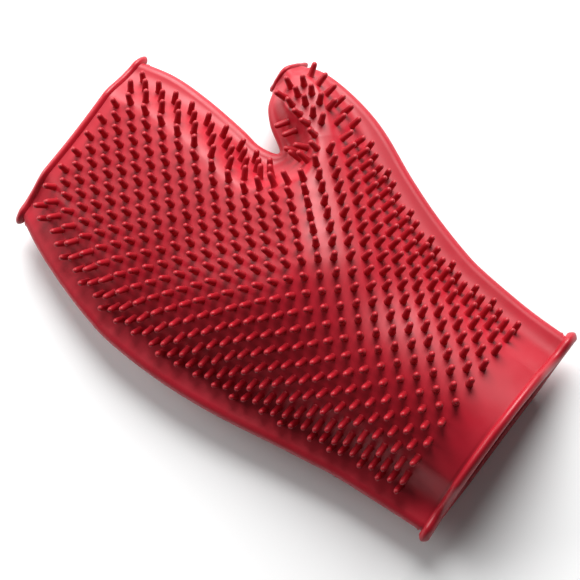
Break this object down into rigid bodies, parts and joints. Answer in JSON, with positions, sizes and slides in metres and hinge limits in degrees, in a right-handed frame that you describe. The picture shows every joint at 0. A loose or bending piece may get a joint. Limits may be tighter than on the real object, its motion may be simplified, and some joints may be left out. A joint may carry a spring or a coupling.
{
  "type": "grooming glove",
  "caption": "Right-hand rubber grooming mitt with a field of soft pins on the palm side, a flared bead at the cuff, and open ends for the four fingers and the thumb.",
  "frame": {"origin": "bottom centre of the bounding box, on the surface that the glove's back lies on", "axes": "+X to the thumb side, +Y to the fingertips, +Z out of the palm along the pins"},
  "size_m": [0.1605, 0.2429, 0.0588],
  "materials": {
    "wall_rubber": "satin moulded rubber",
    "bead_rubber": "satin moulded rubber",
    "pin_rubber": "satin moulded rubber"
  },
  "bodies": {
    "hand": {"hand_palm_wall": "wall_rubber", "hand_back_wall": "wall_rubber", "heel_pins": "pin_rubber", "palm_pins": "pin_rubber", "thenar_pins": "pin_rubber", "hand_contact_pins": "pin_rubber", "wrist_band_palm": "wall_rubber", "wrist_band_back": "wall_rubber", "wrist_band_pins": "pin_rubber", "knuckle_band_palm": "wall_rubber", "knuckle_band_back": "wall_rubber", "knuckle_band_pins": "pin_rubber", "thumb_band_palm": "wall_rubber", "thumb_band_back": "wall_rubber", "thumb_band_pins": "pin_rubber"},
    "cuff": {"cuff_palm_wall": "wall_rubber", "cuff_back_wall": "wall_rubber", "cuff_rim": "bead_rubber", "cuff_pins": "pin_rubber", "cuff_contact_pins": "pin_rubber"},
    "fingers": {"finger_palm_wall": "wall_rubber", "finger_back_wall": "wall_rubber", "finger_opening_rim": "bead_rubber", "finger_pins": "pin_rubber", "finger_contact_pins": "pin_rubber"},
    "thumb": {"thumb_palm_wall": "wall_rubber", "thumb_back_wall": "wall_rubber", "thumb_opening_rim": "bead_rubber", "thumb_pins": "pin_rubber", "thumb_contact_pins": "pin_rubber"}
  },
  "joints": [
    {"name": "wrist_flex", "type": "hinge", "parent": "hand", "child": "cuff", "pos_m": [-0.01, -0.066, 0.024], "axis": [-1, 0, 0], "range_deg": [-20, 20], "stiffness_Nm_per_rad": 0.35, "deforming": ["wrist_band_palm", "wrist_band_back", "wrist_band_pins"]},
    {"name": "knuckle_flex", "type": "hinge", "parent": "hand", "child": "fingers", "pos_m": [-0.021, 0.053, 0.022], "axis": [1, 0, 0], "range_deg": [-10, 30], "stiffness_Nm_per_rad": 0.3, "deforming": ["knuckle_band_palm", "knuckle_band_back", "knuckle_band_pins"]},
    {"name": "thumb_flex", "type": "hinge", "parent": "hand", "child": "thumb", "pos_m": [0.06255, 0.01965, 0.022], "axis": [0.6998, -0.7143, 0], "range_deg": [-10, 30], "stiffness_Nm_per_rad": 0.12, "deforming": ["thumb_band_palm", "thumb_band_back", "thumb_band_pins"]}
  ]
}
